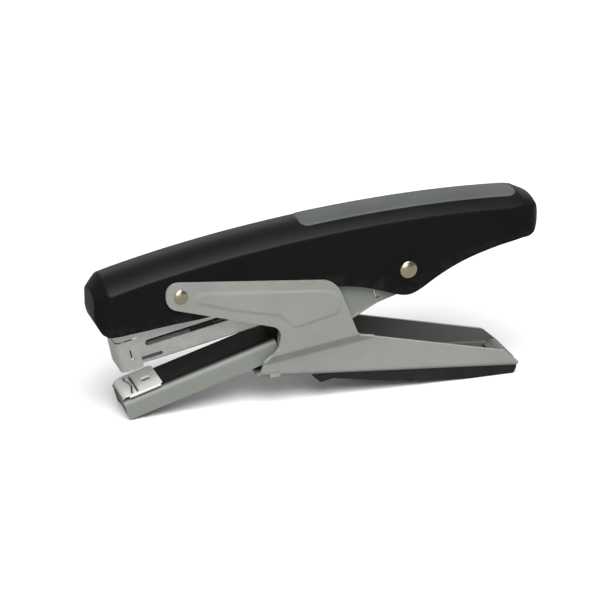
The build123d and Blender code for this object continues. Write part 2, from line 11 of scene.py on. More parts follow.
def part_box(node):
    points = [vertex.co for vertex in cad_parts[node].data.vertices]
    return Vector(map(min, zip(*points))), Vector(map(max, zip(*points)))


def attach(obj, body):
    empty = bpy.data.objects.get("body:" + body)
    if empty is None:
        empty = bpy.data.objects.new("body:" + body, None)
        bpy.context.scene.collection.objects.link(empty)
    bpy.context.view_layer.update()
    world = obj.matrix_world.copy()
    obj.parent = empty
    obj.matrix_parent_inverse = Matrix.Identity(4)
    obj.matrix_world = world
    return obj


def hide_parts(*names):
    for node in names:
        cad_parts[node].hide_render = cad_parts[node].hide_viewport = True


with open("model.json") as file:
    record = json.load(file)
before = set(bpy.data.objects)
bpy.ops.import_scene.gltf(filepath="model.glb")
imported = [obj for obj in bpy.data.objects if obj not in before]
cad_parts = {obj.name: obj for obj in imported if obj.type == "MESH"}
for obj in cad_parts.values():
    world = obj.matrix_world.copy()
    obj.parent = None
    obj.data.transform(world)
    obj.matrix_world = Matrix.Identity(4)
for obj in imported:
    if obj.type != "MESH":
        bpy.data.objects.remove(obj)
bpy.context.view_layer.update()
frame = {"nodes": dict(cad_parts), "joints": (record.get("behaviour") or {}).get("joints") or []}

MM = 0.001
JOINT = {j["name"]: j for j in frame["joints"]}
FRONT_PIVOT = tuple(v / MM for v in JOINT["squeeze"]["pos_m"])
REAR_PIVOT = tuple(v / MM for v in JOINT["jaw"]["pos_m"])


def low(node):
    """Lowest corner of a CAD node, in millimetres."""
    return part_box(node)[0] / MM


def high(node):
    """Highest corner of a CAD node, in millimetres."""
    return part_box(node)[1] / MM


# half widths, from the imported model
COVER_HALF = high("top_cover").y
EAR_HALF = high("lower_handle").y
HANDLE_HALF = 12.1
GRIP_HALF = high("lower_grip").y
ARM_HALF = high("anvil_arm").y
HEAD_HALF = high("magazine_head").y
CHANNEL_HALF = high("magazine_channel").y
NOSE_X = low("top_cover").x
HEEL_X = high("top_cover").x

BODY_SHEET = 1.2
MAGAZINE_SHEET = 0.8

WELD = 0.02  # vertices closer than this become one
SLIVER = 2e-4  # triangles smaller than this, in square millimetres, are left out
EDGE_CLEAR = 0.3  # share of a mesh step kept free beside an edge


# ---- outlines

def arc_corner(before, corner, after, r, steps=8):
    """Points of a rounded corner between two straight runs."""
    a, c, b = Vector(before), Vector(corner), Vector(after)
    to_a, to_b = (a - c), (b - c)
    half = to_a.angle(to_b) / 2
    if r <= 0 or half > pi / 2 - 0.01:
        return [tuple(c)]
    reach = min(r / tan(half), 0.49 * to_a.length, 0.49 * to_b.length)
    r = reach * tan(half)
    start, end = c + to_a.normalized() * reach, c + to_b.normalized() * reach
    centre = c + (to_a.normalized() + to_b.normalized()).normalized() * (r / sin(half))
    points = []
    for i in range(steps + 1):
        chord = start.lerp(end, i / steps) - centre
        points.append(tuple(centre + chord.normalized() * r))
    return points


def round_path(corners, closed=True, steps=8):
    """Points along a path of (x, y, corner radius) triples."""
    points = []
    n = len(corners)
    for i, (x, y, r) in enumerate(corners):
        if not closed and i in (0, n - 1):
            points.append((x, y))
            continue
        before, after = corners[i - 1][:2], corners[(i + 1) % n][:2]
        points += arc_corner(before, (x, y), after, r, steps)
    return points


def resample(points, step, closed=True):
    """The same path with no run longer than a step."""
    out = []
    loop = points + points[:1] if closed else points
    for (x0, y0), (x1, y1) in zip(loop, loop[1:]):
        count = max(1, int(hypot(x1 - x0, y1 - y0) / step + 0.999))
        out += [(x0 + (x1 - x0) * i / count, y0 + (y1 - y0) * i / count) for i in range(count)]
    return out if closed else out + [loop[-1]]


def inside(px, py, loop):
    """Which of many points lie inside a closed loop."""
    hit = np.zeros(len(px), bool)
    xs, ys = np.array(loop).T
    for x0, y0, x1, y1 in zip(xs, ys, np.roll(xs, -1), np.roll(ys, -1)):
        cross = (y0 > py) != (y1 > py)
        with np.errstate(divide="ignore", invalid="ignore"):
            at = (x1 - x0) * (py - y0) / (y1 - y0) + x0
        hit ^= cross & (px < at)
    return hit


def edge_distance(px, py, loop):
    """Distance of many points from a closed loop."""
    best = np.full(len(px), 1e9)
    xs, ys = np.array(loop).T
    for x0, y0, x1, y1 in zip(xs, ys, np.roll(xs, -1), np.roll(ys, -1)):
        dx, dy = x1 - x0, y1 - y0
        t = np.clip(((px - x0) * dx + (py - y0) * dy) / (dx * dx + dy * dy + 1e-12), 0, 1)
        best = np.minimum(best, np.hypot(px - x0 - t * dx, py - y0 - t * dy))
    return best


def ease(t):
    """Smooth step from 0 to 1."""
    t = np.clip(t, 0, 1)
    return t * t * (3 - 2 * t)


# ---- meshes

def new_object(name, data):
    obj = bpy.data.objects.new(name, data)
    bpy.context.scene.collection.objects.link(obj)
    return obj


def mesh_object(name, verts, faces):
    """An object from millimetre vertices, smooth shaded."""
    mesh = bpy.data.meshes.new(name)
    corners = [tuple(c * MM for c in v) for v in verts]
    mesh.from_pydata(corners, [], [tuple(int(i) for i in f) for f in faces])
    mesh.validate()
    mesh.update()
    obj = new_object(name, mesh)
    mesh.shade_smooth()
    return obj


def merged(obj, distance=0.01, turn=True):
    """Welds vertices that coincide and, if asked, turns the faces outward."""
    bm = bmesh.new()
    bm.from_mesh(obj.data)
    bmesh.ops.remove_doubles(bm, verts=bm.verts, dist=distance * MM)
    if turn:
        bmesh.ops.recalc_face_normals(bm, faces=bm.faces)
    bm.to_mesh(obj.data)
    bm.free()
    obj.data.shade_smooth()
    return obj


def solid(obj, thickness, side=-1.0, even=False):
    """Gives a sheet its thickness, inward by default."""
    m = obj.modifiers.new("thickness", "SOLIDIFY")
    m.thickness = thickness * MM
    m.offset = side
    m.use_even_offset = even
    m.use_quality_normals = True


def soft_edges(obj, width, angle=50, segments=2):
    """Rounds the sharp edges a little, as stamping or moulding leaves them."""
    m = obj.modifiers.new("edge_round", "BEVEL")
    m.width = width * MM
    m.segments = segments
    m.limit_method = "ANGLE"
    m.angle_limit = radians(angle)
    m.harden_normals = True
    m.use_clamp_overlap = True


def shrink(loop, distance):
    """A closed loop moved inward by a small distance."""
    pts = np.array(loop)
    tangent = np.roll(pts, -1, 0) - np.roll(pts, 1, 0)
    tangent /= np.linalg.norm(tangent, axis=1)[:, None] + 1e-9
    area = np.sum(pts[:, 0] * np.roll(pts[:, 1], -1) - np.roll(pts[:, 0], -1) * pts[:, 1])
    normal = np.stack([-tangent[:, 1], tangent[:, 0]], -1) * np.sign(area)
    return [tuple(q) for q in pts + normal * distance]


def sideways(centre):
    return (0, centre.y, 0)


def sheet_mesh(name, outline, holes, place, rows, step, outward=sideways, mirror=True, creases=()):
    """A folded sheet: a flat half blank, meshed, then placed by a function of its (u, v) points."""
    loops = [resample(outline, step)] + [resample(h, step * 0.5) for h in holes]
    us = np.array(loops[0])[:, 0]
    columns = np.arange(us.min() + step / 2, us.max(), step)
    grid_u, grid_v = [a.ravel() for a in np.meshgrid(columns, np.array(rows))]
    keep = inside(grid_u, grid_v, loops[0])
    for loop in loops[1:]:
        keep &= ~inside(grid_u, grid_v, loop)
    for loop in loops:
        keep &= edge_distance(grid_u, grid_v, loop) > EDGE_CLEAR * step
    points, edges = [], []
    for loop in loops:
        first = len(points)
        points += [Vector(p) for p in loop]
        edges += [(first + i, first + (i + 1) % len(loop)) for i in range(len(loop))]
    for crease in creases:
        keep &= edge_distance(grid_u, grid_v, crease + crease[::-1]) > EDGE_CLEAR * step
        first = len(points)
        points += [Vector(p) for p in crease]
        edges += [(first + i, first + i + 1) for i in range(len(crease) - 1)]
    points += [Vector(p) for p in zip(grid_u[keep], grid_v[keep])]
    verts, _, faces, *_ = delaunay_2d_cdt(points, edges, [], 0, 1e-5)
    flat = np.array([tuple(v) for v in verts])
    tri = np.array(faces)
    mid = flat[tri].mean(1)
    side_a, side_b = flat[tri[:, 1]] - flat[tri[:, 0]], flat[tri[:, 2]] - flat[tri[:, 0]]
    area = np.abs(side_a[:, 0] * side_b[:, 1] - side_a[:, 1] * side_b[:, 0]) / 2
    good = inside(mid[:, 0], mid[:, 1], loops[0]) & (area > SLIVER)
    for loop in loops[1:]:
        good &= ~inside(mid[:, 0], mid[:, 1], loop)
    tri = tri[good]
    spots = place(flat[:, 0], flat[:, 1])
    if mirror:
        other = spots * np.array([1, -1, 1])
        tri = np.vstack([tri, tri[:, ::-1] + len(spots)])
        spots = np.vstack([spots, other])
    obj = merged(mesh_object(name, spots, tri), WELD, turn=False)
    facing = sum(p.area * (p.normal @ Vector(outward(p.center / MM))) for p in obj.data.polygons)
    if facing < 0:
        obj.data.flip_normals()
    return obj


def prism_walls(n, base=0):
    """Faces between two rings of n vertices."""
    return [(base + i, base + i + n, base + (i + 1) % n + n, base + (i + 1) % n) for i in range(n)]


def prism(name, verts):
    """A closed block between two like rings, given one after the other."""
    n = len(verts) // 2
    caps = [tuple(range(n)), tuple(range(2 * n - 1, n - 1, -1))]
    return merged(mesh_object(name, verts, caps + prism_walls(n)))


def lathe(name, profile, turn, sides=48):
    """A turned piece from (radius, along Y) points, then moved by a matrix."""
    verts, faces = [], []
    for r, along in profile:
        for k in range(sides):
            a = 2 * pi * k / sides
            verts.append((r * cos(a), along, r * sin(a)))
    for i in range(len(profile) - 1):
        for k in range(sides):
            a, b = i * sides + k, i * sides + (k + 1) % sides
            faces.append((a, b, b + sides, a + sides))
    faces.append(tuple(range(sides)))
    faces.append(tuple(reversed(range((len(profile) - 1) * sides, len(profile) * sides))))
    verts = [tuple(turn @ Vector(v)) for v in verts]
    return merged(mesh_object(name, verts, faces), 0.004)


def joined(name, parts):
    """Joins several pieces into one object, keeping their materials."""
    with bpy.context.temp_override(active_object=parts[0], selected_editable_objects=parts):
        bpy.ops.object.join()
    parts[0].name = name
    return parts[0]


def baked(obj):
    """Applies an object's modifiers."""
    graph = bpy.context.evaluated_depsgraph_get()
    mesh = bpy.data.meshes.new_from_object(obj.evaluated_get(graph))
    old = obj.data
    obj.modifiers.clear()
    obj.data = mesh
    bpy.data.meshes.remove(old)
    return obj


# ---- local frames

def slope_frame(origin, degrees):
    """Maps (along, across, up) of a tilted frame to x, y, z."""
    c, s = cos(radians(degrees)), sin(radians(degrees))

    def to_world(u, y, w):
        return np.stack([origin[0] + u * c - w * s, y + 0 * u, origin[1] + u * s + w * c], -1)

    def to_local(x, z):
        dx, dz = x - origin[0], z - origin[1]
        return dx * c + dz * s, dz * c - dx * s

    return to_world, to_local


def fold(v, flat, r):
    """Across and off the flat, for a strip that is flat to a line, then bends with radius r."""
    v = np.abs(v)
    a = np.clip((v - flat) / r, 0, pi / 2)
    across = np.where(v <= flat, v, flat + r * np.sin(a))
    return across, r * (1 - np.cos(a)) + np.clip(v - flat - r * pi / 2, 0, None)


ARM_FRONT, ARM_SLOPE = (-74.1, 0.0), 16.7
MAGAZINE_SLOPE = 11.5
HANDLE_FRONT, HANDLE_FALL = (-25.9, 11.4), 4.93
arm_world, arm_local = slope_frame(ARM_FRONT, ARM_SLOPE)
mag_world, mag_local = slope_frame((REAR_PIVOT[0], REAR_PIVOT[2]), MAGAZINE_SLOPE)
handle_world, handle_local = slope_frame(HANDLE_FRONT, -HANDLE_FALL)


# ---- materials

def node_group(name, build, inputs, outputs):
    """A shader node group, built once; sockets called a tone or a colour carry a colour."""
    group = bpy.data.node_groups.new(name, "ShaderNodeTree")
    for direction, labels in (("INPUT", inputs), ("OUTPUT", outputs)):
        for label in labels:
            kind = "NodeSocketColor" if label.startswith(("Tone", "Color")) else "NodeSocketFloat"
            group.interface.new_socket(name=label, in_out=direction, socket_type=kind)
    build(group, group.nodes.new("NodeGroupInput"), group.nodes.new("NodeGroupOutput"))
    return group


def add(tree, kind, **settings):
    node = tree.nodes.new(kind)
    for key, value in settings.items():
        setattr(node, key, value)
    return node


def feed(value, socket):
    """Gives a socket a constant, or another node's output."""
    if isinstance(value, bpy.types.NodeSocket):
        socket.id_data.links.new(value, socket)
    else:
        socket.default_value = value


def math_node(tree, operation, *values):
    node = add(tree, "ShaderNodeMath", operation=operation)
    for socket, value in zip(node.inputs, values):
        feed(value, socket)
    return node.outputs[0]


def noise(tree, scale, detail=3.0, stretch=None):
    """Noise over the object's own coordinates, in cycles per metre."""
    where = add(tree, "ShaderNodeTexCoord").outputs["Object"]
    if stretch:
        mapping = add(tree, "ShaderNodeMapping")
        feed(stretch, mapping.inputs["Scale"])
        feed(where, mapping.inputs["Vector"])
        where = mapping.outputs["Vector"]
    node = add(tree, "ShaderNodeTexNoise")
    feed(where, node.inputs["Vector"])
    feed(scale, node.inputs["Scale"])
    feed(detail, node.inputs["Detail"])
    return node.outputs["Fac"]


def spread(tree, value, from_low, from_high, to_low=0.0, to_high=1.0):
    """Stretches one range of a value over another, clamped."""
    node = add(tree, "ShaderNodeMapRange")
    node.clamp = True
    for socket, limit in zip(node.inputs, (value, from_low, from_high, to_low, to_high)):
        feed(limit, socket)
    return node.outputs["Result"]


def blend(tree, amount, under, over):
    """Lays one colour over another where an amount is high."""
    mix = add(tree, "ShaderNodeMix", data_type="RGBA")
    for label, value in (("Factor", amount), ("A", under), ("B", over)):
        feed(value, mix.inputs[label])
    return mix.outputs["Result"]


def build_edge_wear(tree, given, out):
    """Mask that is high on worn outer edges, broken up by noise."""
    geometry = add(tree, "ShaderNodeNewGeometry")
    edge = spread(tree, geometry.outputs["Pointiness"], 0.505, 0.56)
    patchy = spread(tree, noise(tree, given.outputs["Patch scale"], 4.0), 0.42, 0.68)
    worn = math_node(tree, "MULTIPLY", edge, patchy)
    feed(math_node(tree, "MULTIPLY", worn, given.outputs["Amount"]), out.inputs["Mask"])


def build_mottle(tree, given, out):
    """Slow colour drift and fine speckle between two tones."""
    slow = math_node(tree, "MULTIPLY", noise(tree, given.outputs["Drift scale"]), 0.65)
    fine = math_node(tree, "MULTIPLY", noise(tree, given.outputs["Speck scale"], 2.0), 0.35)
    amount = spread(tree, math_node(tree, "ADD", slow, fine), 0.38, 0.62)
    tones = blend(tree, amount, given.outputs["Tone A"], given.outputs["Tone B"])
    feed(tones, out.inputs["Color"])


def give_grain(tree, grain, given, out):
    """Sends a grain out as a height, and as a roughness between two limits."""
    feed(grain, out.inputs["Height"])
    rough = spread(tree, grain, 0.3, 0.7, given.outputs["Smooth"], given.outputs["Rough"])
    feed(rough, out.inputs["Roughness"])


def build_grain(tree, given, out):
    """Fine even grain of paint, moulding or plate."""
    give_grain(tree, noise(tree, given.outputs["Scale"], given.outputs["Detail"]), given, out)


def build_brushing(tree, given, out):
    """Long fine streaks of drawn or brushed metal along X."""
    streak = noise(tree, given.outputs["Scale"], 4.0, stretch=(0.03, 1.0, 1.0))
    give_grain(tree, streak, given, out)


def split(tree, vector):
    node = add(tree, "ShaderNodeSeparateXYZ")
    feed(vector, node.inputs[0])
    return node.outputs


def build_dust(tree, given, out):
    """Fine dust that settles on faces that look up."""
    normal = split(tree, add(tree, "ShaderNodeNewGeometry").outputs["Normal"])
    up = spread(tree, normal["Z"], 0.3, 1.0)
    patchy = spread(tree, noise(tree, 60.0, 5.0), 0.35, 0.75, 0.2)
    dust = math_node(tree, "MULTIPLY", up, patchy)
    feed(math_node(tree, "MULTIPLY", dust, given.outputs["Amount"]), out.inputs["Mask"])


def build_crease_shade(tree, given, out):
    """Mask of painted shade, high in creases and grooves."""
    geometry = add(tree, "ShaderNodeNewGeometry")
    crease = spread(tree, geometry.outputs["Pointiness"], 0.492, 0.44)
    feed(math_node(tree, "MULTIPLY", crease, given.outputs["Amount"]), out.inputs["Mask"])


def build_inner_shade(tree, given, out):
    """Mask of painted shade on the faces that look in towards the middle of a pressing, or up from its
    floor.
    """
    where = add(tree, "ShaderNodeTexCoord").outputs
    place, facing = split(tree, where["Object"]), split(tree, where["Normal"])
    side = math_node(tree, "SIGN", place["Y"])
    inward = spread(tree, math_node(tree, "MULTIPLY", side, facing["Y"]), -0.3, -0.8)
    off_centre = math_node(tree, "ABSOLUTE", place["Y"])
    between = spread(tree, off_centre, FLOOR_EDGE * MM, (FLOOR_EDGE - 0.3) * MM)
    upward = math_node(tree, "MULTIPLY", spread(tree, facing["Z"], 0.5, 0.9), between)
    feed(math_node(tree, "MAXIMUM", inward, upward), out.inputs["Mask"])


FLOOR_EDGE = 10.7  # half width of the lower handle's floor, inside its bends
EDGE_WEAR = node_group("edge_wear", build_edge_wear, ["Amount", "Patch scale"], ["Mask"])
CREASE_SHADE = node_group("painted_crease_shade", build_crease_shade, ["Amount"], ["Mask"])
INNER_SHADE = node_group("painted_inner_shade", build_inner_shade, [], ["Mask"])
DUST = node_group("dust", build_dust, ["Amount"], ["Mask"])
MOTTLE = node_group(
    "mottle", build_mottle, ["Tone A", "Tone B", "Drift scale", "Speck scale"], ["Color"])
GRAIN = node_group(
    "grain", build_grain, ["Scale", "Detail", "Smooth", "Rough"], ["Height", "Roughness"])
BRUSHING = node_group("brushing", build_brushing, ["Scale", "Smooth", "Rough"], ["Height", "Roughness"])


def use(tree, group, **values):
    """Places a node group with its own values, spaces in socket names written as underscores."""
    node = add(tree, "ShaderNodeGroup", node_tree=group)
    for key, value in values.items():
        feed(value, node.inputs[key.replace("_", " ")])
    return node


def blank_material(name):
    material = bpy.data.materials.new(name)
    material.use_nodes = True
    return material, material.node_tree, material.node_tree.nodes["Principled BSDF"]


def bump(tree, shader, height, distance, strength=1.0):
    node = add(tree, "ShaderNodeBump")
    feed(distance * MM, node.inputs["Distance"])
    feed(strength, node.inputs["Strength"])
    feed(height, node.inputs["Height"])
    feed(node.outputs["Normal"], shader.inputs["Normal"])


def marked(tree, base, group, colour, **values):
    """Lays a colour over a base colour through the mask of a node group."""
    return blend(tree, use(tree, group, **values).outputs["Mask"], base, (*colour, 1))


def textured(tree, shader, grain, distance, strength=1.0):
    """Takes a shader's roughness and its bumps from a grain."""
    feed(grain.outputs["Roughness"], shader.inputs["Roughness"])
    bump(tree, shader, grain.outputs["Height"], distance, strength)


def mottled(tree, dark, light, drift, speck):
    """Colour that drifts between two tones."""
    node = use(
        tree, MOTTLE, Tone_A=(*dark, 1), Tone_B=(*light, 1), Drift_scale=drift, Speck_scale=speck)
    return node.outputs["Color"]


def toned(tone, factor):
    return tuple(c * factor for c in tone)


def grey_enamel(name, tone, web_shade_up=None):
    """Satin grey stoving enamel on sheet steel, with orange peel and small chips on its edges, and
    painted shade in its creases, on its inner faces and, if asked, on the arm's web.
    """
    material, tree, shader = blank_material(name)
    colour = mottled(tree, toned(tone, 0.93), toned(tone, 1.05), 55.0, 2600.0)
    colour = marked(tree, colour, EDGE_WEAR, (0.50, 0.50, 0.47), Amount=0.35, Patch_scale=420.0)
    # painted shade in creases: darker lines along the panel rims, the joggle and seams
    colour = marked(tree, colour, CREASE_SHADE, (0.10, 0.10, 0.09), Amount=0.6)
    # painted shade on inner walls and floors, which the upper handle and near walls shade
    colour = marked(tree, colour, INNER_SHADE, (0.105, 0.112, 0.105))
    sheen = ENAMEL_SHEEN
    # painted shade: the arm's web under the magazine made near black, with less reflection
    if web_shade_up:
        facing = add(tree, "ShaderNodeVectorMath", operation="DOT_PRODUCT")
        feed(add(tree, "ShaderNodeTexCoord").outputs["Normal"], facing.inputs[0])
        feed(web_shade_up, facing.inputs[1])
        web_shade = spread(tree, facing.outputs["Value"], 0.55, 0.97)
        colour = blend(tree, web_shade, colour, (0.006, 0.007, 0.006, 1))
        sheen = spread(tree, web_shade, 0.0, 1.0, ENAMEL_SHEEN, 0.02)
    feed(colour, shader.inputs["Base Color"])
    feed(sheen, shader.inputs["Specular IOR Level"])
    peel = use(tree, GRAIN, Scale=1500.0, Detail=2.0, Smooth=0.36, Rough=0.46)
    textured(tree, shader, peel, 0.012)
    return material


def moulded_black(name, tone, rough):
    """Fine spark-eroded black moulding with a slight sheen on handled edges."""
    material, tree, shader = blank_material(name)
    colour = mottled(tree, tone, toned(tone, 1.5), 35.0, 3000.0)
    colour = marked(tree, colour, DUST, (0.30, 0.29, 0.27), Amount=0.02)
    colour = marked(tree, colour, EDGE_WEAR, (0.035, 0.035, 0.035), Amount=0.25, Patch_scale=250.0)
    feed(colour, shader.inputs["Base Color"])
    feed(0.16, shader.inputs["Specular IOR Level"])
    grain = use(tree, GRAIN, Scale=3800.0, Detail=3.0, Smooth=rough[0], Rough=rough[1])
    textured(tree, shader, grain, 0.015)
    return material


def soft_grip():
    """Matte grey thermoplastic rubber with a fine pebble grain."""
    material, tree, shader = blank_material("soft_grip")
    colour = mottled(tree, (0.064, 0.071, 0.067), (0.080, 0.088, 0.083), 60.0, 2400.0)
    colour = marked(tree, colour, DUST, (0.28, 0.28, 0.27), Amount=0.03)
    feed(colour, shader.inputs["Base Color"])
    cells = add(tree, "ShaderNodeTexVoronoi", feature="SMOOTH_F1")
    feed(2600.0, cells.inputs["Scale"])
    feed(add(tree, "ShaderNodeTexCoord").outputs["Object"], cells.inputs["Vector"])
    pebbles = cells.outputs["Distance"]
    feed(spread(tree, pebbles, 0.0, 0.8, 0.52, 0.70), shader.inputs["Roughness"])
    bump(tree, shader, pebbles, 0.03, 0.6)
    return material


def plated_sheet(name, tone=(0.72, 0.73, 0.69), rough=(0.24, 0.40), metallic=0.8, crease_shade=0.0):
    """Bright zinc plate over cold rolled sheet, with faint cloudy stains and, if asked, painted shade
    in its creases.
    """
    material, tree, shader = blank_material(name)
    colour = mottled(tree, toned(tone, 0.86), tone, 120.0, 1500.0)
    if crease_shade:
        # painted shade in creases, such as the anvil pocket grooves and the head's seam
        colour = marked(tree, colour, CREASE_SHADE, (0.05, 0.05, 0.045), Amount=crease_shade)
    feed(colour, shader.inputs["Base Color"])
    feed(metallic, shader.inputs["Metallic"])
    streaks = use(tree, BRUSHING, Scale=2200.0, Smooth=rough[0], Rough=rough[1])
    textured(tree, shader, streaks, 0.006)
    return material


def nickel(name, tone):
    """Warm nickel plate of the rivet heads, with tiny dings."""
    material, tree, shader = blank_material(name)
    feed(mottled(tree, toned(tone, 0.9), tone, 300.0, 2500.0), shader.inputs["Base Color"])
    feed(1.0, shader.inputs["Metallic"])
    dings = use(tree, GRAIN, Scale=1200.0, Detail=3.0, Smooth=0.14, Rough=0.26)
    textured(tree, shader, dings, 0.01)
    return material


ENAMEL_SHEEN = 0.4
ARM_UP = (-sin(radians(ARM_SLOPE)), 0.0, cos(radians(ARM_SLOPE)))

ENAMEL = grey_enamel("grey_enamel", (0.290, 0.298, 0.274))
# darker copy of the same grey enamel: painted shade for the arm's lower, less lit walls
SHADED_ARM_ENAMEL = grey_enamel("arm_enamel_shaded", (0.235, 0.250, 0.225), ARM_UP)
BLACK = moulded_black("moulded_black", (0.0029, 0.0032, 0.0029), (0.38, 0.50))
BLACK_GRIP = moulded_black("moulded_grip", (0.012, 0.012, 0.012), (0.45, 0.6))
SOFT = soft_grip()
PLATED = plated_sheet("plated_sheet")
# the anvil's last value, and the head's below, is painted shade in their creases
ANVIL = plated_sheet("anvil_finish_shaded_creases", (0.70, 0.71, 0.67), (0.42, 0.55), 0.3, 0.95)
HEAD_PLATE = plated_sheet("head_plate_shaded_creases", crease_shade=0.9)
STEEL = plated_sheet("dark_steel", (0.30, 0.30, 0.30), (0.30, 0.50))
# staple wire darkened as painted shade, for staples in the channel's shadow
SHADED_WIRE = plated_sheet("staple_wire", (0.13, 0.13, 0.13), (0.3, 0.45))
NICKEL = nickel("nickel", (0.62, 0.56, 0.41))
ANVIL_RIVET = nickel("anvil_rivet_plate", (0.50, 0.46, 0.36))


def finish_piece(obj, material, body, slot, *nodes):
    """Bakes a piece, gives it its material and its body and hides the CAD nodes that it stands for; its
    slot is not used.
    """
    baked(obj)
    obj.data.materials.clear()
    obj.data.materials.append(material)
    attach(obj, body)
    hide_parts(*nodes)


# ---- cover of the upper handle

COVER_WALL = 1.4
EDGE_R = 1.3  # round between the side and the roof
EDGE_SWELL = 0.12  # how far that round stands above a true arc
CROWN_RISE = 4.0
CROWN_BALL = (COVER_HALF**2 + CROWN_RISE**2) / (2 * CROWN_RISE)  # radius of the roof across the width
NOSE_RUN, HEEL_RUN = 9.0, 15.0  # ends with closer sections
NOSE_CLOSED, HEEL_CLOSED = 2.6, 6.5  # ends that are closed underneath
SECTION_GAP = 1.3
# side view of the roof and of the lower edge, as (x, z)
ROOF = [(-92.0, 51.5), (-75.0, 56.2), (-57.6, 60.2), (-38.0, 63.9), (-18.8, 66.8), (2.0, 69.2),
        (24.0, 70.9), (40.0, 71.6), (54.0, 71.8), (70.0, 71.5), (94.0, 70.2)]
FOOT = [(-86.0, 41.2), (-85.4, 38.7), (-83.8, 35.3), (-82.4, 34.4), (-79.5, 34.3), (-72.0, 35.0),
        (-58.0, 36.6), (-45.0, 37.9), (-32.0, 41.0), (-20.0, 44.0), (-8.0, 44.9), (5.0, 43.9),
        (15.8, 42.0), (22.1, 40.0), (26.8, 38.3), (30.4, 37.4), (33.4, 37.5), (36.6, 38.8),
        (41.7, 42.0), (46.3, 44.7), (53.2, 48.0), (61.9, 51.0), (70.6, 53.2), (77.0, 54.3),
        (80.8, 54.7), (83.4, 56.0), (85.0, 57.9), (86.0, 60.0)]


def smooth_through(table, x):
    """A smooth curve through a few (x, z) points, by cubic pieces."""
    xs, zs = np.array(table, float).T
    slopes = np.gradient(zs, xs)
    i = np.clip(np.searchsorted(xs, x) - 1, 0, len(xs) - 2)
    h = xs[i + 1] - xs[i]
    t = np.clip((x - xs[i]) / h, 0, 1)
    a = (1 + 2 * t) * (1 - t) ** 2 * zs[i] + t * (1 - t) ** 2 * h * slopes[i]
    return a + t * t * (3 - 2 * t) * zs[i + 1] + t * t * (t - 1) * h * slopes[i + 1]


def follow(path, x):
    """Height of a rounded path at x."""
    xs, zs = np.array(path).T
    return np.interp(x, xs, zs)


COVER_PLAN = round_path(
    [(NOSE_X, 0, 0), (NOSE_X, 7.6, 1.6), (NOSE_X + 5.0, COVER_HALF, 3.0), (74.0, COVER_HALF, 6.0),
     (82.6, 10.3, 6.0), (HEEL_X, 5.0, 4.0), (HEEL_X, 0, 0)], closed=False)
ROOF_CUT = round_path(
    [(NOSE_X, 30.0, 0), (NOSE_X, 49.2, 1.4), (NOSE_X + 5.0, 55.2, 7.0), (NOSE_X + 12.0, 80.0, 3.0),
     (72.0, 84.0, 3.0), (75.0, 72.4, 9.0), (84.4, 68.0, 5.0), (HEEL_X, 62.0, 0)], closed=False)


def crown_fall(y):
    """How far the roof has dropped at a distance from its middle."""
    return CROWN_BALL - np.sqrt(CROWN_BALL**2 - np.asarray(y) ** 2)


def roof_height(x):
    return np.minimum(smooth_through(ROOF, x), follow(ROOF_CUT, x))


def cover_section(x):
    """Section of the cover at x, as (x, y, z) from the near lower edge over the roof to the far one."""
    per_side, per_arc, per_roof = 9, 5, 13
    at = min(max(x, NOSE_X + 1e-3), HEEL_X - 1e-3)
    half, foot, top = follow(COVER_PLAN, at), smooth_through(FOOT, at), roof_height(at)
    shoulder = top - crown_fall(half)
    r = min(EDGE_R, 0.45 * half)
    ring = [(half, foot + (shoulder - r - foot) * t) for t in np.linspace(0, 1, per_side)]
    lean = asin((half - r) / CROWN_BALL)
    for t in np.linspace(0, 1, per_arc + 1)[1:]:
        a = (pi / 2 - lean) * t
        ring.append((half - r + r * cos(a), shoulder - r + (r + EDGE_SWELL) * sin(a)))
    y_in, z_in = ring[-1]
    step = z_in - (top - crown_fall(y_in))
    for t in np.linspace(0, 1, per_roof + 1)[1:]:
        y = y_in * (1 - t)
        ring.append((y, top - crown_fall(y) + step * (1 - t) ** 3))
    full = ring[:-1] + [(0.0, ring[-1][1])] + [(-y, z) for y, z in reversed(ring[:-1])]
    return [(x, y, z) for y, z in full]


def cover_shell():
    """Outer skin of the cover, as sections along its length."""
    nose = NOSE_X + NOSE_RUN * (1 - np.cos(np.linspace(0, pi / 2, 34)))
    heel = HEEL_X - HEEL_RUN * (1 - np.cos(np.linspace(pi / 2, 0, 40)))
    middle = np.linspace(nose[-1] + SECTION_GAP, heel[0] - SECTION_GAP, 110)
    stations = np.r_[nose, middle, heel]
    rings = [cover_section(x) for x in stations]
    n = len(rings[0])
    verts = [p for ring in rings for p in ring]
    faces = []
    for i in range(len(rings) - 1):
        a = i * n
        faces += [(a + k, a + k + 1, a + k + n + 1, a + k + n) for k in range(n - 1)]
        if stations[i + 1] < NOSE_X + NOSE_CLOSED or stations[i] > HEEL_X - HEEL_CLOSED:
            faces.append((a + n - 1, a, a + n, a + 2 * n - 1))
    for base in (0, (len(rings) - 1) * n):
        for k in range(n // 2 - 1):
            left, right = base + k, base + n - 1 - k
            faces.append((left, left + 1, right - 1, right))
        faces.append((base + n // 2 - 1, base + n // 2, base + n // 2 + 1))
    obj = merged(mesh_object("cover", verts, faces), WELD)
    face = max(obj.data.polygons, key=lambda p: abs(p.center.y))
    if face.normal.y * face.center.y < 0:
        obj.data.flip_normals()
    solid(obj, COVER_WALL, even=True)
    soft_edges(obj, 0.25)
    finish_piece(obj, BLACK, "upper_handle", "black_plastic", "top_cover")


INSERT_FRONT, INSERT_REAR = low("grip_insert").x, high("grip_insert").x
INSERT_HALF = high("grip_insert").y
INSERT_LIFT, INSERT_SUNK = 0.24, 0.06  # crown above the rim, rim below the roof
INSERT_EDGE, INSERT_THICK = 0.6, 0.8


